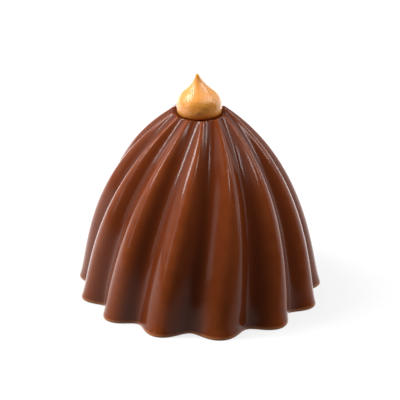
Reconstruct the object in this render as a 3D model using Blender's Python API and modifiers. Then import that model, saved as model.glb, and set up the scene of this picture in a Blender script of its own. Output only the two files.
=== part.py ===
# A moulded chocolate praline: a dome of chocolate with twisted flutes, crowned with a piped caramel drop.
# Units are metres, +Z is up, and the origin is the centre of the flat foot that the praline rests on.
# Turn angles are measured about +Z from the front (-Y), towards +X.

import math

import bmesh
import bpy
import numpy as np

MM = 0.001

# Dome: the outline of its ridges, from foot to crown
FOOT_RADIUS = 15.0 * MM
FOOT_DRAFT = math.radians(28.3)  # lean of the wall at the foot, which releases it from the mould
FOOT_REACH = 2.83 * MM  # how far up that lean carries
FOOT_ROUNDING = 0.35 * MM
CROWN_RADIUS = 3.5 * MM
CROWN_HEIGHT = 21.45 * MM
CROWN_PITCH = math.radians(36.3)  # slope of the roof where it meets the crown
CROWN_REACH = 13.44 * MM
LIP_RADIUS = 3.38 * MM  # the crown rolls over this soft lip and down to the seat
LIP_HEIGHT = 21.47 * MM
LIP_ROUNDING = 0.06 * MM
SEAT_RADIUS = 2.45 * MM
SEAT_HEIGHT = 21.15 * MM  # the flat patch under the drop
SEAT_ROUNDING = 0.35 * MM

# Flutes
FLUTES = 13
FIRST_RIDGE = math.radians(9.5)  # turn of one ridge at the foot
FOOT_LEAN = math.radians(7.75)  # angle between a ridge and the straight way up, at the foot
CROWN_LEAN = math.radians(9.35)  # the same at the crown
FLUTE_DEPTH = 1.43 * MM  # ridge to valley over most of the wall
CROWN_DEPTH = 0.31 * MM  # what is left of it at the crown
DEPTH_POWER = 3.7  # how late on the way up the flutes grow shallow
FOOT_FLARE = 0.46 * MM  # extra depth at the foot
FLARE_SHARE = 0.15  # share of the way up over which it runs out
FOOT_BREADTH = 0.18  # above 0 the ridges are broad and the valleys narrow
CROWN_BREADTH = -0.43  # below 0 the ridges are narrow and the valleys broad
BREADTH_POWER = 3.0
OVAL = 0.0594  # share by which the dome is longer along its long axis
OVAL_TURN = math.radians(8.3)

# Drop
DROP_GAP = 0.3 * MM  # clearance between the drop and the seat
DROP_RADIUS = 2.6 * MM
DROP_BELLY = 0.85 * MM  # height of its widest level above the seat
DROP_HEIGHT = 4.69 * MM  # where its tip begins to round over, above the seat
DROP_FOOT_RADIUS = 2.05 * MM
TIP_RADIUS = 0.18 * MM
TIP_TAPER = math.radians(21.5)  # half of the angle at the tip
TIP_REACH = 2.24 * MM
SHOULDER_REACH = 1.95 * MM
TIP_BEND = -0.24 * MM  # how far the tip falls over to one side
BEND_START = 1.8 * MM  # height above the seat where it starts to

# Fineness of the faceted solids
COLUMNS_PER_FLUTE = 14
WALL_ROWS = 24
EDGE_ROW_SHARE = 0.3  # place of the extra row within the rounded foot edge
LIP_ROWS = 2
SEAT_ROWS = 3
OUTLINE_STEPS = 400
DROP_STEPS = 36
DROP_ROWS = 11
UNDER_ROWS = 5
ROUND = 0.6  # handle length, as a share of the corner, that makes a curve nearly circular
SMOOTH_ANGLE = math.radians(50.0)  # edges sharper than this stay crisp

CHOCOLATE = ((0.130, 0.036, 0.016), 0.30)  # colour and roughness
CARAMEL = ((0.70, 0.36, 0.105), 0.42)


def clear_scene():
    for thing in list(bpy.data.objects):
        bpy.data.objects.remove(thing, do_unlink=True)


def food_material(name, colour, roughness):
    material = bpy.data.materials.new(name)
    material.use_nodes = True
    shader = material.node_tree.nodes["Principled BSDF"]
    shader.inputs["Base Color"].default_value = (*colour, 1.0)
    shader.inputs["Roughness"].default_value = roughness
    shader.inputs["Metallic"].default_value = 0.0
    return material


def bezier(start, start_handle, end_handle, end, steps):
    """Points of one cubic curve, at even steps of its parameter."""
    t = np.linspace(0.0, 1.0, steps)[:, None]
    corners = [np.asarray(p, float) for p in (start, start_handle, end_handle, end)]
    weights = ((1 - t) ** 3, 3 * t * (1 - t) ** 2, 3 * t**2 * (1 - t), t**3)
    return sum(w * p for w, p in zip(weights, corners))


def wall_stations():
    """Ridge radius, height, share of the way up and twist of each row of the wall, evenly spaced."""
    draft = FOOT_REACH * np.array([-math.sin(FOOT_DRAFT), math.cos(FOOT_DRAFT)])
    roof = CROWN_REACH * np.array([math.cos(CROWN_PITCH), -math.sin(CROWN_PITCH)])
    foot = np.array([FOOT_RADIUS, 0.0])
    crown = np.array([CROWN_RADIUS, CROWN_HEIGHT])
    fine = bezier(foot, foot + draft, crown + roof, crown, OUTLINE_STEPS)
    steps = np.hypot(*np.diff(fine, axis=0).T)
    way = np.concatenate([[0.0], np.cumsum(steps)])
    mean_radius = (fine[1:, 0] + fine[:-1, 0]) / 2
    lean = FOOT_LEAN + (CROWN_LEAN - FOOT_LEAN) * way[1:] / way[-1]
    twist = np.concatenate([[0.0], np.cumsum(np.tan(lean) * steps / mean_radius)])
    edge_rows = np.array([0.0, EDGE_ROW_SHARE]) * FOOT_ROUNDING
    rows = np.concatenate([edge_rows, np.linspace(FOOT_ROUNDING, way[-1], WALL_ROWS)])
    radius = np.interp(rows, way, fine[:, 0])
    height = np.interp(rows, way, fine[:, 1])
    return np.column_stack([radius, height, rows / way[-1], np.interp(rows, way, twist)])


def crown_stations(twist):
    """The same for the rows over the lip and down to the seat. The share runs on from 1 to 2 at the seat."""
    edge = np.array([CROWN_RADIUS, CROWN_HEIGHT])
    slope = LIP_ROUNDING * np.array([-math.cos(CROWN_PITCH), math.sin(CROWN_PITCH)])
    inward = np.array([-1.0, 0.0])
    lip = np.array([LIP_RADIUS, LIP_HEIGHT])
    seat = np.array([SEAT_RADIUS, SEAT_HEIGHT])
    over = bezier(edge, edge + slope, lip - LIP_ROUNDING * inward, lip, LIP_ROWS + 1)[1:]
    down = bezier(lip, lip + SEAT_ROUNDING * inward, seat - SEAT_ROUNDING * inward, seat, SEAT_ROWS + 1)[1:]
    outline = np.concatenate([over, down])
    share = 1 + np.linspace(0.0, 1.0, len(outline) + 1)[1:]
    return np.column_stack([outline, share, np.full(len(outline), twist)])


def flute_depth(share):
    """Flute depth at a share of the way up: steady, then shallower by a power of the share, flared by
    a square at the foot, and gone by a straight line from the crown's edge to the seat."""
    wall = CROWN_DEPTH + (FLUTE_DEPTH - CROWN_DEPTH) * (1 - np.clip(share, 0, 1) ** DEPTH_POWER)
    flare = FOOT_FLARE * np.clip(1 - share / FLARE_SHARE, 0, None) ** 2
    return (wall + flare) * np.clip(2 - share, 0, 1)


def fluted_rows():
    """Rows of points up the dome. A row is its ridge radius less the flute depth, where the valleys' share of
    that depth is half of one minus a cosine, with the cosine's phase pushed to broaden ridges or valleys."""
    wall = wall_stations()
    stations = np.concatenate([wall, crown_stations(wall[-1, 3])])
    radius, height, share, twist = (values[:, None] for values in stations.T)
    columns = FLUTES * COLUMNS_PER_FLUTE
    phase = np.arange(columns)[None, :] / COLUMNS_PER_FLUTE  # whole numbers are ridges
    breadth = FOOT_BREADTH + (CROWN_BREADTH - FOOT_BREADTH) * np.clip(share, 0, 1) ** BREADTH_POWER
    pushed = phase - breadth * np.sin(2 * np.pi * phase) / (2 * np.pi)
    valley = (1 - np.cos(2 * np.pi * pushed)) / 2
    inset = FOOT_ROUNDING - np.sqrt(FOOT_ROUNDING**2 - np.clip(FOOT_ROUNDING - height, 0, None) ** 2)
    reach = radius - inset - flute_depth(share) * valley
    turn = FIRST_RIDGE + 2 * np.pi * phase / FLUTES + twist
    reach = reach * (1 + OVAL * np.cos(2 * (turn - OVAL_TURN)))
    return np.stack([reach * np.sin(turn), -reach * np.cos(turn), height + 0 * turn], axis=-1)


def loft(name, rows):
    """One closed solid: rows of points joined by strips, closed flat at its foot and at its seat."""
    bm = bmesh.new()
    rings = [[bm.verts.new(point) for point in row] for row in rows]
    count = len(rings[0])
    for lower, upper in zip(rings, rings[1:]):
        for i in range(count):
            j = (i + 1) % count
            bm.faces.new((lower[i], lower[j], upper[j], upper[i]))
    for ring, outward in ((rings[0], False), (rings[-1], True)):
        centre = bm.verts.new((0.0, 0.0, ring[0].co.z))
        for i in range(count):
            j = (i + 1) % count
            bm.faces.new((ring[i], ring[j], centre) if outward else (ring[j], ring[i], centre))
    return finish(name, bm)


def finish(name, bm):
    mesh = bpy.data.meshes.new(name)
    bm.to_mesh(mesh)
    bm.free()
    mesh.shade_smooth()
    mesh.set_sharp_from_angle(angle=SMOOTH_ANGLE)
    return bpy.data.objects.new(name, mesh)


def make_dome(collection):
    dome = loft("chocolate_dome", fluted_rows())
    dome.data.materials.append(food_material("moulded_chocolate", *CHOCOLATE))
    collection.objects.link(dome)
    return dome


def drop_profile():
    """Radius and height above the seat, from the tip down the drop's outer side and under it to the axis."""
    flank = bezier(
        (TIP_RADIUS, DROP_HEIGHT),
        (TIP_RADIUS + TIP_REACH * math.sin(TIP_TAPER), DROP_HEIGHT - TIP_REACH * math.cos(TIP_TAPER)),
        (DROP_RADIUS, DROP_BELLY + SHOULDER_REACH),
        (DROP_RADIUS, DROP_BELLY),
        DROP_ROWS,
    )
    under = bezier(
        (DROP_RADIUS, DROP_BELLY),
        (DROP_RADIUS, DROP_BELLY - ROUND * (DROP_BELLY - DROP_GAP)),
        (DROP_FOOT_RADIUS + ROUND * (DROP_RADIUS - DROP_FOOT_RADIUS), DROP_GAP),
        (DROP_FOOT_RADIUS, DROP_GAP),
        UNDER_ROWS,
    )
    tip = (0.0, DROP_HEIGHT + TIP_RADIUS / 2)
    return np.concatenate([[tip], flank, under[1:], [(0.0, DROP_GAP)]])


def make_drop(collection):
    """A turned drop, whose tip falls over by the square of its height above the start of the bend."""
    profile = drop_profile()
    outline = bpy.data.meshes.new("drop_outline")
    points = [(radius, 0.0, height) for radius, height in profile]
    outline.from_pydata(points, [(i, i + 1) for i in range(len(points) - 1)], [])
    turned = bpy.data.objects.new("drop_outline", outline)
    collection.objects.link(turned)
    screw = turned.modifiers.new("turn", "SCREW")
    screw.steps = screw.render_steps = DROP_STEPS
    screw.use_merge_vertices = True
    screw.merge_threshold = 0.000001
    bpy.context.view_layer.update()
    solid = bpy.data.meshes.new_from_object(turned.evaluated_get(bpy.context.evaluated_depsgraph_get()))
    bpy.data.objects.remove(turned, do_unlink=True)
    bm = bmesh.new()
    bm.from_mesh(solid)
    bpy.data.meshes.remove(solid)
    for vert in bm.verts:
        bend = max(0.0, (vert.co.z - BEND_START) / (DROP_HEIGHT - BEND_START))
        vert.co.x += TIP_BEND * bend**2
        vert.co.z += SEAT_HEIGHT
    drop = finish("caramel_drop", bm)
    drop.data.materials.append(food_material("piped_caramel", *CARAMEL))
    collection.objects.link(drop)
    return drop


def main():
    clear_scene()
    praline = bpy.data.collections.new("praline")
    bpy.context.scene.collection.children.link(praline)
    make_dome(praline)
    make_drop(praline)


main()
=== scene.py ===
import math

import bpy
import numpy as np
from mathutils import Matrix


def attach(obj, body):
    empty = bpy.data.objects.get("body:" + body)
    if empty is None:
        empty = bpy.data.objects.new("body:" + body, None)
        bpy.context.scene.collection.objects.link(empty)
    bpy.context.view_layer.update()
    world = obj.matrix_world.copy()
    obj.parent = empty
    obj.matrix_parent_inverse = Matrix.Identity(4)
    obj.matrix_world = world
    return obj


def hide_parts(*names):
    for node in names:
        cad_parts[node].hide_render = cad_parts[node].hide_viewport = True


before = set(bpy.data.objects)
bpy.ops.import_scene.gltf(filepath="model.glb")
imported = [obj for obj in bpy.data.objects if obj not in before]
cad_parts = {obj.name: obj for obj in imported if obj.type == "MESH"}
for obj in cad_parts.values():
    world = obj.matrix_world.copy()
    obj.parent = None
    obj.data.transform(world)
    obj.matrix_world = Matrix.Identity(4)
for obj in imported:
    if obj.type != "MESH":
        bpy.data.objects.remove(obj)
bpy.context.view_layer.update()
print("frame loaded:", ", ".join(sorted(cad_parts)))

mm = 0.001  # everything is in metres


# curves and meshes, shared by the dome and the drop

def bezier(start, startHandle, endHandle, end, steps):
    # cubic curve: the four points weighted by the terms of ((1 - t) + t) cubed
    t = np.linspace(0.0, 1.0, steps)[:, None]
    weights = ((1 - t) ** 3, 3 * t * (1 - t) ** 2, 3 * t**2 * (1 - t), t**3)
    return sum(w * np.asarray(p, float) for w, p in zip(weights, (start, startHandle, endHandle, end)))


def ripples(points, length, count, seed):
    # sum of sine waves that run in random directions, between -1 and 1 for most points
    random = np.random.default_rng(seed)
    ways = random.normal(size=(count, 3))
    ways /= np.linalg.norm(ways, axis=1)[:, None]
    lengths = length * random.uniform(0.7, 1.4, count)
    phases = random.uniform(0.0, 2 * np.pi, count)
    waves = np.sin(2 * np.pi * (points @ ways.T) / lengths + phases)
    return waves.sum(axis=-1) / math.sqrt(count)


def closedLoft(name, rows, lowPole, highPole, marks):
    # rows of points joined by strips of quads, with a fan to one point at each end
    count, columns = rows.shape[:2]
    points = np.concatenate([rows.reshape(-1, 3), [lowPole, highPole]])
    row, column = np.meshgrid(np.arange(count - 1), np.arange(columns), indexing="ij")
    nextColumn = (column + 1) % columns
    quads = np.stack([row * columns + column, row * columns + nextColumn,
                      (row + 1) * columns + nextColumn, (row + 1) * columns + column], axis=-1).reshape(-1, 4)
    i = np.arange(columns)
    j = (i + 1) % columns
    top = (count - 1) * columns
    lowFan = np.stack([j, i, np.full(columns, count * columns)], axis=-1)
    highFan = np.stack([top + i, top + j, np.full(columns, count * columns + 1)], axis=-1)
    mesh = bpy.data.meshes.new(name)
    mesh.from_pydata(points.tolist(), [], quads.tolist() + lowFan.tolist() + highFan.tolist())
    mesh.shade_smooth()
    for title, values in marks.items():
        attribute = mesh.attributes.new(title, "FLOAT", "POINT")
        ends = [values[0].mean(), values[-1].mean()]
        attribute.data.foreach_set("value", np.concatenate([values.ravel(), ends]).astype(np.float32))
    mesh.update()
    piece = bpy.data.objects.new(name, mesh)
    bpy.context.scene.collection.objects.link(piece)
    return piece


dome = {
    "footRadius": 14.97 * mm,
    "footDraft": math.radians(28.3),  # lean of the wall at the foot
    "footReach": 2.83 * mm,
    "footRounding": 0.35 * mm,
    "crownRadius": 3.5 * mm,
    "crownHeight": 21.45 * mm,
    "crownPitch": math.radians(36.3),
    "crownReach": 13.44 * mm,
    "lipRadius": 3.38 * mm,  # the soft lip round the drop's seat
    "lipHeight": 21.47 * mm,
    "lipRounding": 0.06 * mm,
    "seatRadius": 2.45 * mm,
    "seatHeight": 21.17 * mm,
    "seatRounding": 0.35 * mm,
    "flutes": 13,
    "firstRidge": math.radians(9.5),
    "footLean": math.radians(7.75),  # between a ridge and the straight way up
    "crownLean": math.radians(9.35),
    "fluteDepth": 1.43 * mm,
    "crownDepth": 0.31 * mm,
    "depthPower": 3.7,  # the higher, the later the flutes grow shallow
    "footFlare": 0.46 * mm,
    "flareShare": 0.15,
    "footBreadth": 0.18,  # above 0 broad ridges, below 0 broad valleys
    "crownBreadth": -0.43,
    "breadthPower": 3.0,
    "oval": 0.0594,
    "ovalTurn": math.radians(8.3),
    "paintedRimLightBand": 0.5 * mm,  # height of the band round the foot that is painted lighter, as painted light along the rim
    "ridgePower": 1.5,  # the higher, the narrower the ridges left clear of the painted valley shade
    # share of the lit colour on the seat; the rest is painted shade
    "seatShade": 0.5,
    "columnsPerFlute": 32,
    "wallRows": 130,
    "footRings": (0.12, 0.35, 0.6, 0.82, 0.94, 0.985),
    "seatRings": (0.8, 0.55, 0.3, 0.12),
}


def wallStations(d):
    # ridge radius and height from foot to crown, share of the way up, and the twist gathered on the way:
    # each step up turns by the tangent of the lean times the step over the radius
    draft = d["footReach"] * np.array([-math.sin(d["footDraft"]), math.cos(d["footDraft"])])
    roof = d["crownReach"] * np.array([math.cos(d["crownPitch"]), -math.sin(d["crownPitch"])])
    foot, crown = np.array([d["footRadius"], 0.0]), np.array([d["crownRadius"], d["crownHeight"]])
    fine = bezier(foot, foot + draft, crown + roof, crown, 800)
    steps = np.hypot(*np.diff(fine, axis=0).T)
    way = np.concatenate([[0.0], np.cumsum(steps)])
    lean = d["footLean"] + (d["crownLean"] - d["footLean"]) * way[1:] / way[-1]
    twist = np.concatenate([[0.0], np.cumsum(np.tan(lean) * 2 * steps / (fine[1:, 0] + fine[:-1, 0]))])
    rounding = d["footRounding"] * (1 - np.cos(np.linspace(0.0, np.pi / 2, 9)))
    rows = np.concatenate([rounding, np.linspace(d["footRounding"], way[-1], d["wallRows"])[1:]])
    return np.column_stack([np.interp(rows, way, fine[:, 0]), np.interp(rows, way, fine[:, 1]),
                            rows / way[-1], np.interp(rows, way, twist)])


def crownStations(d, twist):
    # the same over the lip and down to the seat, with the share running on from 1 to 2 at the seat
    edge, lip = np.array([d["crownRadius"], d["crownHeight"]]), np.array([d["lipRadius"], d["lipHeight"]])
    seat = np.array([d["seatRadius"], d["seatHeight"]])
    slope = d["lipRounding"] * np.array([-math.cos(d["crownPitch"]), math.sin(d["crownPitch"])])
    inward = np.array([-1.0, 0.0])
    over = bezier(edge, edge + slope, lip - d["lipRounding"] * inward, lip, 6)[1:]
    down = bezier(lip, lip + d["seatRounding"] * inward, seat - d["seatRounding"] * inward, seat, 12)[1:]
    inner = np.array([[ring * d["seatRadius"], d["seatHeight"]] for ring in d["seatRings"]])
    outline = np.concatenate([over, down, inner])
    rolled = len(over) + len(down)
    share = np.concatenate([1 + np.linspace(0.0, 1.0, rolled + 1)[1:], np.full(len(inner), 2.0)])
    return np.column_stack([outline, share, np.full(len(outline), twist)])


def fluteDepth(d, share):
    # steady, less a power of the share, plus a square at the foot, gone by a straight line at the seat
    fading = 1 - np.clip(share, 0, 1) ** d["depthPower"]
    wall = d["crownDepth"] + (d["fluteDepth"] - d["crownDepth"]) * fading
    flare = d["footFlare"] * np.clip(1 - share / d["flareShare"], 0, None) ** 2
    return (wall + flare) * np.clip(2 - share, 0, 1)


def makeDome(d):
    # ridge radius less the flute depth times the valley share, which is (1 - cos) / 2 of a pushed phase;
    # then an oval, which adds a share of the radius times the cosine of twice the turn
    wall = wallStations(d)
    radius, height, share, twist = (
        values[:, None] for values in np.concatenate([wall, crownStations(d, wall[-1, 3])]).T)
    phase = np.arange(d["flutes"] * d["columnsPerFlute"])[None, :] / d["columnsPerFlute"]
    narrowing = np.clip(share, 0, 1) ** d["breadthPower"]
    breadth = d["footBreadth"] + (d["crownBreadth"] - d["footBreadth"]) * narrowing
    pushed = phase - breadth * np.sin(2 * np.pi * phase) / (2 * np.pi)
    valley = (1 - np.cos(2 * np.pi * pushed)) / 2
    rim = d["footRounding"]
    inset = rim - np.sqrt(rim**2 - np.clip(rim - height, 0, None) ** 2)
    reach = radius - inset - fluteDepth(d, share) * valley
    turn = d["firstRidge"] + 2 * np.pi * phase / d["flutes"] + twist
    reach = reach * (1 + d["oval"] * np.cos(2 * (turn - d["ovalTurn"])))
    shell = np.stack([reach * np.sin(turn), -reach * np.cos(turn), height + 0 * turn], axis=-1)
    foot = shell[0][None] * np.array(d["footRings"])[:, None, None]
    rows = np.concatenate([foot, shell])
    # painted light along the foot rim, fading out over its band
    paintedRimLight = np.clip(1 - rows[..., 2] / d["paintedRimLightBand"], 0, 1)
    # share of the lit colour: 1 on the ridges, falling to painted shade in the flute valleys, half painted
    # shade on the seat
    onWall = np.clip(2 - share, 0, 1)
    paintedLightShare = np.clip(1 - valley, 0, 1) ** d["ridgePower"] * onWall + d["seatShade"] * (1 - onWall)
    paintedLightShare = np.concatenate([np.repeat(paintedLightShare[:1], len(foot), axis=0), paintedLightShare])
    return closedLoft("chocolateDome", rows, (0, 0, 0), (0, 0, d["seatHeight"]),
                      {"paintedRimLight": paintedRimLight, "paintedLightShare": paintedLightShare})


drop = {
    "seatHeight": 21.17 * mm,
    "radius": 2.58 * mm,
    "belly": 0.83 * mm,  # height of its widest level above the seat
    "height": 4.65 * mm,
    "footRadius": 2.15 * mm,
    "tipRadius": 0.18 * mm,
    "tipTaper": math.radians(21.5),
    "tipReach": 2.24 * mm,
    "shoulderReach": 1.97 * mm,
    "tipBend": -0.24 * mm,
    "bendStart": 1.77 * mm,
    "lumps": 0.012 * mm,
    "lumpLength": 1.1 * mm,
    "fineLumpLength": 0.45 * mm,
    "paintedFootShadeBand": 0.28 * mm,  # height of the painted shade round the drop's foot, where it meets the seat
    "columns": 160,
    "rows": 110,
}


def makeDrop(d):
    # a turned outline with ripples on its radius, whose tip falls over by the square of its height
    # above the start of the bend
    under = bezier((d["footRadius"], 0.0),
                   (d["footRadius"] + 0.6 * (d["radius"] - d["footRadius"]), 0.0),
                   (d["radius"], 0.35 * d["belly"]), (d["radius"], d["belly"]), 24)
    flank = bezier((d["radius"], d["belly"]), (d["radius"], d["belly"] + d["shoulderReach"]),
                   (d["tipRadius"] + d["tipReach"] * math.sin(d["tipTaper"]),
                    d["height"] - d["tipReach"] * math.cos(d["tipTaper"])),
                   (d["tipRadius"], d["height"]), d["rows"])
    around = np.linspace(0.0, np.pi / 2, 5)[1:-1]
    tip = np.stack([d["tipRadius"] * np.cos(around),
                    d["height"] + d["tipRadius"] / 2 * np.sin(around)], axis=-1)
    base = np.array([[share * d["footRadius"], 0.0] for share in (0.2, 0.6, 0.9)])
    profile = np.concatenate([base, under, flank[1:], tip])
    turn = np.arange(d["columns"]) * 2 * np.pi / d["columns"]
    radius, height = profile[:, 0][:, None], profile[:, 1][:, None]
    rows = np.stack([radius * np.sin(turn), -radius * np.cos(turn), height + 0 * turn], axis=-1)
    lumps = ripples(rows, d["lumpLength"], 14, 4) + 0.5 * ripples(rows, d["fineLumpLength"], 18, 9)
    swell = 1 + d["lumps"] * lumps / d["radius"]
    rows[..., :2] *= swell[..., None]
    bend = np.clip((rows[..., 2] - d["bendStart"]) / (d["height"] - d["bendStart"]), 0, None) ** 2
    rows[..., 0] += d["tipBend"] * bend
    rows[..., 2] += d["seatHeight"]
    # painted shade, fading up from the seat
    paintedFootShade = np.clip(1 - (rows[..., 2] - d["seatHeight"]) / d["paintedFootShadeBand"], 0, 1)
    top = (d["tipBend"], 0.0, d["seatHeight"] + d["height"] + d["tipRadius"] / 2)
    return closedLoft("caramelDrop", rows, (0, 0, d["seatHeight"]), top, {"paintedFootShade": paintedFootShade})


# node groups used by both foods

def newGroup(name, inputs, outputs):
    group = bpy.data.node_groups.new(name, "ShaderNodeTree")
    for title, kind, value in inputs:
        socket = group.interface.new_socket(title, in_out="INPUT", socket_type=kind)
        if value is not None:
            socket.default_value = value
    for title, kind in outputs:
        group.interface.new_socket(title, in_out="OUTPUT", socket_type=kind)
    return group, group.nodes.new("NodeGroupInput"), group.nodes.new("NodeGroupOutput")


def node(tree, kind, inputs=None, **settings):
    # a new node with its settings, and each input given as a value or as the socket that feeds it
    made = tree.nodes.new(kind)
    for title, value in settings.items():
        setattr(made, title, value)
    for title, value in (inputs or {}).items():
        socket = made.inputs[title]
        if isinstance(value, bpy.types.NodeSocket):
            tree.links.new(value, socket)
        else:
            socket.default_value = value
    return made


def placeGroup(tree, group, inputs):
    return node(tree, "ShaderNodeGroup", inputs, node_tree=group)


def mixColours(tree, share, first, second):
    return node(tree, "ShaderNodeMix", {0: share, 6: first, 7: second}, data_type="RGBA").outputs[2]


def makeGrainGroup():
    # height of a fine grain: noise at one size plus half as much at a third of that size
    group, given, result = newGroup(
        "fineGrain",
        [("Vector", "NodeSocketVector", None), ("Grains per Metre", "NodeSocketFloat", 5000.0)],
        [("Height", "NodeSocketFloat")])
    coarse = node(group, "ShaderNodeTexNoise", {"Vector": given.outputs["Vector"],
                  "Scale": given.outputs["Grains per Metre"], "Detail": 1.0, "Roughness": 0.5})
    finer = node(group, "ShaderNodeMath", {0: given.outputs["Grains per Metre"], 1: 3.0},
                 operation="MULTIPLY")
    fine = node(group, "ShaderNodeTexNoise", {"Vector": given.outputs["Vector"], "Scale": finer.outputs[0],
                "Detail": 1.0, "Roughness": 0.5})
    both = node(group, "ShaderNodeMath", {0: fine.outputs["Fac"], 1: 0.5, 2: coarse.outputs["Fac"]},
                operation="MULTIPLY_ADD")
    group.links.new(both.outputs[0], result.inputs["Height"])
    return group


def makeSpeckGroup():
    # mask of small round specks: cells whose random number is high, each with a radius that is
    # a random share of the given one, and fading from its centre
    group, given, result = newGroup(
        "specks",
        [("Vector", "NodeSocketVector", None), ("Cells per Metre", "NodeSocketFloat", 400.0),
         ("Radius", "NodeSocketFloat", 0.1), ("Rarity", "NodeSocketFloat", 0.9)],
        [("Mask", "NodeSocketFloat")])
    cells = node(group, "ShaderNodeTexVoronoi", {"Vector": given.outputs["Vector"],
                 "Scale": given.outputs["Cells per Metre"]}, feature="F1")
    chance = node(group, "ShaderNodeSeparateColor", {"Color": cells.outputs["Color"]})
    chosen = node(group, "ShaderNodeMath", {0: chance.outputs[0], 1: given.outputs["Rarity"]},
                  operation="GREATER_THAN")
    size = node(group, "ShaderNodeMath", {0: chance.outputs[1], 1: given.outputs["Radius"]},
                operation="MULTIPLY")
    near = node(group, "ShaderNodeMapRange", {"Value": cells.outputs["Distance"], "From Min": 0.0,
                "From Max": size.outputs[0], "To Min": 1.0, "To Max": 0.0})
    mask = node(group, "ShaderNodeMath", {0: near.outputs[0], 1: chosen.outputs[0]}, operation="MULTIPLY")
    group.links.new(mask.outputs[0], result.inputs["Mask"])
    return group


def makeBlotchGroup():
    # soft cloudy mask, 0 to 1, from one slow noise
    group, given, result = newGroup(
        "blotches",
        [("Vector", "NodeSocketVector", None), ("Clouds per Metre", "NodeSocketFloat", 150.0)],
        [("Mask", "NodeSocketFloat")])
    clouds = node(group, "ShaderNodeTexNoise", {"Vector": given.outputs["Vector"],
                  "Scale": given.outputs["Clouds per Metre"], "Detail": 3.0, "Roughness": 0.55})
    spread = node(group, "ShaderNodeMapRange", {"Value": clouds.outputs["Fac"],
                  "From Min": 0.3, "From Max": 0.7})
    group.links.new(spread.outputs[0], result.inputs["Mask"])
    return group


grainGroup, speckGroup, blotchGroup = makeGrainGroup(), makeSpeckGroup(), makeBlotchGroup()


def makeFood(name, food):
    # what both foods share: cloudy roughness, a fine grain, and a little light let through
    material = bpy.data.materials.new(name)
    material.use_nodes = True
    tree = material.node_tree
    shader = tree.nodes["Principled BSDF"]
    place = tree.nodes.new("ShaderNodeTexCoord").outputs["Object"]
    clouds = placeGroup(tree, blotchGroup, {"Vector": place, "Clouds per Metre": food["cloudsPerMetre"]})
    grain = placeGroup(tree, grainGroup, {"Vector": place, "Grains per Metre": food["grainsPerMetre"]})
    specks = placeGroup(tree, speckGroup, {"Vector": place, "Cells per Metre": food["speckCellsPerMetre"],
                        "Radius": food["speckRadius"], "Rarity": food["speckRarity"]})
    rough = node(tree, "ShaderNodeMapRange", {"Value": clouds.outputs["Mask"],
                 "To Min": food["roughness"][0], "To Max": food["roughness"][1]})
    tree.links.new(rough.outputs[0], shader.inputs["Roughness"])
    bump = node(tree, "ShaderNodeBump", {"Height": grain.outputs["Height"], "Strength": 1.0,
                "Distance": food["grainDepth"]})
    tree.links.new(bump.outputs[0], shader.inputs["Normal"])
    shader.inputs["IOR"].default_value = food["ior"]
    shader.inputs["Specular IOR Level"].default_value = food["specularLevel"]
    shader.inputs["Subsurface Weight"].default_value = food["letThrough"]
    shader.inputs["Subsurface Radius"].default_value = food["depthByColour"]
    shader.inputs["Subsurface Scale"].default_value = food["letThroughDepth"]
    return material, clouds.outputs["Mask"], specks.outputs["Mask"]


chocolate = {
    "body": (0.190, 0.0372, 0.0074, 1.0),
    "cloud": (0.230, 0.0490, 0.0115, 1.0),
    # painted shade: darker colour in the flute valleys, and half of it on the seat
    "valley": (0.116, 0.0215, 0.0050, 1.0),
    # painted light: paler colour along the foot rim
    "paintedRimLight": (0.60, 0.23, 0.085, 1.0),
    "dust": (0.42, 0.17, 0.075, 1.0),
    "cloudsPerMetre": 650.0,
    "speckCellsPerMetre": 330.0,
    "speckRadius": 0.08,
    "speckRarity": 0.86,
    "roughness": (0.13, 0.17),
    "grainsPerMetre": 5200.0,
    "grainDepth": 0.0022 * mm,
    "ior": 1.48,
    "specularLevel": 0.14,
    "letThrough": 0.06,
    "depthByColour": (1.0, 0.35, 0.15),
    "letThroughDepth": 0.6 * mm,
}


def makeChocolate(c):
    material, clouds, specks = makeFood("moulded milk chocolate", c)
    tree = material.node_tree
    paintedRimLight = node(tree, "ShaderNodeAttribute", attribute_name="paintedRimLight")
    paintedLightShare = node(tree, "ShaderNodeAttribute", attribute_name="paintedLightShare")
    colour = mixColours(tree, clouds, c["body"], c["cloud"])
    # painted shade in the flute valleys and on the seat
    colour = mixColours(tree, paintedLightShare.outputs["Fac"], c["valley"], colour)
    # painted light on the foot rim
    colour = mixColours(tree, paintedRimLight.outputs["Fac"], colour, c["paintedRimLight"])
    colour = mixColours(tree, specks, colour, c["dust"])
    tree.links.new(colour, tree.nodes["Principled BSDF"].inputs["Base Color"])
    return material


caramel = {
    "body": (0.82, 0.35, 0.058, 1.0),
    "cloud": (0.86, 0.345, 0.054, 1.0),
    # painted shade where the drop meets the chocolate
    "paintedFootShade": (0.34, 0.125, 0.030, 1.0),
    "grain": (0.90, 0.52, 0.17, 1.0),
    "cloudsPerMetre": 600.0,
    "speckCellsPerMetre": 1800.0,
    "speckRadius": 0.3,
    "speckRarity": 0.6,
    "roughness": (0.14, 0.20),
    "grainsPerMetre": 5400.0,
    "grainDepth": 0.032 * mm,
    "ior": 1.46,
    "specularLevel": 0.6,
    "letThrough": 0.5,
    "depthByColour": (1.0, 0.6, 0.3),
    "letThroughDepth": 0.15 * mm,
}


def makeCaramel(c):
    material, clouds, specks = makeFood("piped caramel cream", c)
    tree = material.node_tree
    paintedFootShade = node(tree, "ShaderNodeAttribute", attribute_name="paintedFootShade")
    colour = mixColours(tree, clouds, c["body"], c["cloud"])
    colour = mixColours(tree, specks, colour, c["grain"])
    # painted shade at the drop's foot
    colour = mixColours(tree, paintedFootShade.outputs["Fac"], colour, c["paintedFootShade"])
    tree.links.new(colour, tree.nodes["Principled BSDF"].inputs["Base Color"])
    return material


chocolateDome = makeDome(dome)
caramelDrop = makeDrop(drop)
print("pieces made:", len(chocolateDome.data.polygons), "and", len(caramelDrop.data.polygons), "faces")

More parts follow.
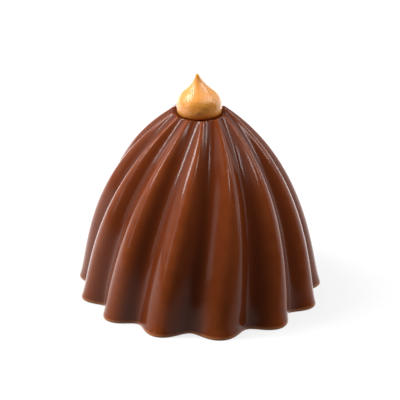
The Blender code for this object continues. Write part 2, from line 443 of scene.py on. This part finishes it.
for piece, cadNode, finishSlot, material in (
        (chocolateDome, "chocolate_dome", "chocolate", makeChocolate(chocolate)),
        (caramelDrop, "caramel_drop", "caramel", makeCaramel(caramel))):
    piece.data.materials.append(material)
    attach(piece, "root")
    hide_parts(cadNode)
print("materials made")


studio = {
    "target": (0.077 * mm, 0.0, 10.602 * mm),
    "elevation": math.radians(22.19),
    "distance": 363.48 * mm,
    "lens": 286.5,  # millimetres on a 36 mm frame
    "ambient": 0.11,
    "floorGlow": 0.76,
    "floorColour": (0.21, 0.21, 0.21, 1.0),  # low, so that shadows stay faint on the glowing card
    "tableGlow": (0.15, 2.6),  # what the praline sees of the table in front and behind
    "glowFrom": -55 * mm,
    "glowTo": 25 * mm,
    "glowTurn": math.radians(25),
    "glowDepth": 0.2 * mm,  # the glowing card lies this far under the floor
    "lightDistance": 0.5,
    "lightAim": 10 * mm,  # height of the point that every light turns round
}

# each soft light by its turn from the front (towards +X), elevation, turn and height it spans, and radiance
softLights = {
    "leftBoard": (-114, 32, 60, 58, 1.3),
    "leftStrip": (-68, 24, 18, 38, 2.8),
    "keyStrip": (-93, 46, 8, 32, 37.0),
    "topBoard": (-105, 72, 60, 20, 1.8),
    "rightBoard": (118, 18, 50, 40, 1.6),
    "rightHigh": (60, 62, 60, 18, 1.3),
    "rightStrip": (94, 48, 6, 32, 20.0),
    "highKey": (46, 54, 10, 11, 18.0),
}
shineOnly = ("highKey",)  # seen in the gloss only, and lighting nothing


def placeLight(name, turn, elevation, wide, high, radiance):
    turn, elevation = math.radians(turn), math.radians(elevation)
    distance = studio["lightDistance"]
    width = 2 * distance * math.tan(math.radians(wide) / 2)
    height = 2 * distance * math.tan(math.radians(high) / 2)
    lamp = bpy.data.lights.new(name, "AREA")
    lamp.shape = "RECTANGLE"
    lamp.size, lamp.size_y = width, height
    lamp.energy = radiance * math.pi * width * height
    light = bpy.data.objects.new(name, lamp)
    light.location = (distance * math.cos(elevation) * math.sin(turn),
                      -distance * math.cos(elevation) * math.cos(turn),
                      distance * math.sin(elevation) + studio["lightAim"])
    light.rotation_euler = (math.pi / 2 - elevation, 0.0, turn)
    light.visible_camera = False
    bpy.context.scene.collection.objects.link(light)
    return light


for name, numbers in softLights.items():
    placeLight(name, *numbers).visible_diffuse = name not in shineOnly

world = bpy.data.worlds.new("studio")
bpy.context.scene.world = world
world.use_nodes = True
world.node_tree.nodes["Background"].inputs["Color"].default_value = (1, 1, 1, 1)
world.node_tree.nodes["Background"].inputs["Strength"].default_value = studio["ambient"]


def layCard(name, finish, height, colour):
    # a dull square card, 2 m wide, that lies flat at the given height and glows
    mesh = bpy.data.meshes.new(name)
    mesh.from_pydata([(-1, -1, height), (1, -1, height), (1, 1, height), (-1, 1, height)], [], [(0, 1, 2, 3)])
    card = bpy.data.objects.new(name, mesh)
    bpy.context.scene.collection.objects.link(card)
    material = bpy.data.materials.new(finish)
    material.use_nodes = True
    shader = material.node_tree.nodes["Principled BSDF"]
    shader.inputs["Base Color"].default_value = colour
    shader.inputs["Roughness"].default_value = 0.9
    shader.inputs["Specular IOR Level"].default_value = 0.0
    shader.inputs["Emission Color"].default_value = (1, 1, 1, 1)
    material.cycles.emission_sampling = "NONE"
    mesh.materials.append(material)
    return card, material.node_tree


floor, floorTree = layCard("floor", "white card", 0, studio["floorColour"])
floorTree.nodes["Principled BSDF"].inputs["Emission Strength"].default_value = studio["floorGlow"]
floor.visible_diffuse = False
floor.visible_glossy = False

# the table as the praline sees it: a glow that grows in a straight line from front right to back left
tableGlow, glowTree = layCard("tableGlow", "table glow", -studio["glowDepth"], (0, 0, 0, 1))
along = node(glowTree, "ShaderNodeSeparateXYZ",
             {"Vector": glowTree.nodes.new("ShaderNodeTexCoord").outputs["Object"]}).outputs["Y"]
glow = node(glowTree, "ShaderNodeMapRange", {"Value": along,
            "From Min": studio["glowFrom"], "From Max": studio["glowTo"],
            "To Min": studio["tableGlow"][0], "To Max": studio["tableGlow"][1]})
glowTree.links.new(glow.outputs[0], glowTree.nodes["Principled BSDF"].inputs["Emission Strength"])
tableGlow.rotation_euler = (0.0, 0.0, studio["glowTurn"])
tableGlow.visible_camera = False
tableGlow.visible_diffuse = False

cameraData = bpy.data.cameras.new("camera")
cameraData.lens = studio["lens"]
cameraData.sensor_width = 36.0
camera = bpy.data.objects.new("camera", cameraData)
aim = studio["target"]
camera.location = (aim[0], -studio["distance"] * math.cos(studio["elevation"]),
                   aim[2] + studio["distance"] * math.sin(studio["elevation"]))
camera.rotation_euler = (math.pi / 2 - studio["elevation"], 0.0, 0.0)
cameraData.clip_start = 0.005
bpy.context.scene.collection.objects.link(camera)
bpy.context.scene.camera = camera
bpy.context.scene.view_settings.view_transform = "Standard"
print("studio made")
